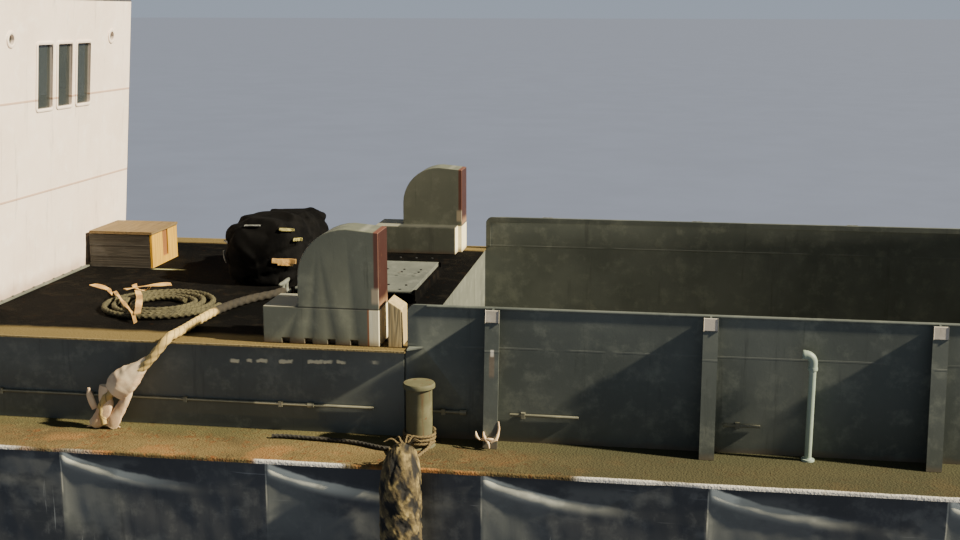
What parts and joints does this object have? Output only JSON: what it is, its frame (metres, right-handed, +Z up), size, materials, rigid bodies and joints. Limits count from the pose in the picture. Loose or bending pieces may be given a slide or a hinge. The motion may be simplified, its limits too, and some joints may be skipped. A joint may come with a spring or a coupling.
{
  "type": "military landing craft",
  "caption": "Steel mechanised landing craft with a bow ramp, open cargo well, raised engine deck, pilothouse aft, propellers in tunnels and steering rudders.",
  "frame": {"origin": "on the flat bottom, under the middle of the overall length and beam", "axes": "+X to the bow, +Y to port, +Z up"},
  "size_m": [17.1, 4.878, 5.35],
  "materials": {
    "hull_paint": "weathered satin",
    "grey_paint": "weathered matt",
    "deck_paint": "rusty non-slip",
    "pale_paint": "sun-faded matt",
    "timber": "weathered bare",
    "bronze": "dull cast",
    "engine_iron": "oily",
    "wheel_paint": "worn gloss",
    "rope": "laid fibre",
    "dark_canvas": "tarred canvas",
    "canvas": "frayed cloth"
  },
  "bodies": {
    "hull": {"hull_stern": "hull_paint", "hull_midship": "hull_paint", "hull_bow": "hull_paint", "skeg_port": "hull_paint", "skeg_starboard": "hull_paint", "side_deck_port": "deck_paint", "side_deck_starboard": "deck_paint", "stern_deck": "deck_paint", "well_deck": "deck_paint", "coaming_port": "grey_paint", "coaming_starboard": "grey_paint", "engine_trunk": "grey_paint", "well_bulkhead": "grey_paint", "engine_deck": "grey_paint", "engine_port": "engine_iron", "engine_starboard": "engine_iron", "bow_post_port": "grey_paint", "bow_post_starboard": "grey_paint", "winch_guard_port": "grey_paint", "winch_guard_starboard": "grey_paint", "timber_block": "timber", "bitt_port": "grey_paint", "bitt_starboard": "grey_paint", "vent_pipe_port": "grey_paint", "vent_pipe_starboard": "grey_paint", "fender_port": "rope", "fender_starboard": "rope", "cleat": "grey_paint", "hawser": "rope", "hawser_eye": "canvas", "deck_rope": "rope", "rope_coil": "rope", "canvas_bundle": "dark_canvas", "locker": "timber", "pilothouse": "pale_paint", "pilothouse_roof": "grey_paint", "console": "grey_paint", "steering_wheel": "wheel_paint", "mast": "grey_paint", "searchlight": "grey_paint"},
    "ramp": {"ramp": "hull_paint"},
    "propeller_port": {"propeller_port": "bronze"},
    "propeller_starboard": {"propeller_starboard": "bronze"},
    "rudder_port": {"rudder_port": "hull_paint"},
    "rudder_starboard": {"rudder_starboard": "hull_paint"},
    "engine_hatch_lid_port": {"engine_hatch_lid_port": "grey_paint"},
    "engine_hatch_lid_starboard": {"engine_hatch_lid_starboard": "grey_paint"},
    "stern_hatch_lid": {"stern_hatch_lid": "grey_paint"},
    "locker_lid": {"locker_lid": "timber"},
    "pilothouse_door": {"pilothouse_door": "grey_paint"}
  },
  "joints": [
    {"name": "ramp_hinge", "type": "hinge", "parent": "hull", "child": "ramp", "pos_m": [7.71524, 0, 0.8], "axis": [0, 1, 0], "range_deg": [0, 85]},
    {"name": "propeller_port_spin", "type": "hinge", "parent": "hull", "child": "propeller_port", "pos_m": [-6.95, 0.95, 0.46], "axis": [1, 0, 0], "continuous": true},
    {"name": "propeller_starboard_spin", "type": "hinge", "parent": "hull", "child": "propeller_starboard", "pos_m": [-6.95, -0.95, 0.46], "axis": [-1, 0, 0], "continuous": true},
    {"name": "rudder_port_turn", "type": "hinge", "parent": "hull", "child": "rudder_port", "pos_m": [-7.45, 0.95, 0.4], "axis": [0, 0, 1], "range_deg": [-35, 35]},
    {"name": "rudder_starboard_turn", "type": "hinge", "parent": "hull", "child": "rudder_starboard", "pos_m": [-7.45, -0.95, 0.4], "axis": [0, 0, 1], "range_deg": [-35, 35]},
    {"name": "engine_hatch_port_hinge", "type": "hinge", "parent": "hull", "child": "engine_hatch_lid_port", "pos_m": [-3.8, 0.505, 2.171], "axis": [-1, 0, 0], "range_deg": [0, 100]},
    {"name": "engine_hatch_starboard_hinge", "type": "hinge", "parent": "hull", "child": "engine_hatch_lid_starboard", "pos_m": [-3.8, -0.505, 2.171], "axis": [1, 0, 0], "range_deg": [0, 100]},
    {"name": "stern_hatch_hinge", "type": "hinge", "parent": "hull", "child": "stern_hatch_lid", "pos_m": [-8.37, 0, 1.601], "axis": [0, -1, 0], "range_deg": [0, 100]},
    {"name": "locker_lid_hinge", "type": "hinge", "parent": "hull", "child": "locker_lid", "pos_m": [-6.154, 0.645, 2.355], "axis": [0, -1, 0], "range_deg": [0, 80]},
    {"name": "pilothouse_door_hinge", "type": "hinge", "parent": "hull", "child": "pilothouse_door", "pos_m": [-7.288, 0.335, 3], "axis": [0, 0, -1], "range_deg": [0, 110]}
  ],
  "couplings": [
    {"joint": "rudder_starboard_turn", "follows": "rudder_port_turn", "ratio": 1}
  ]
}
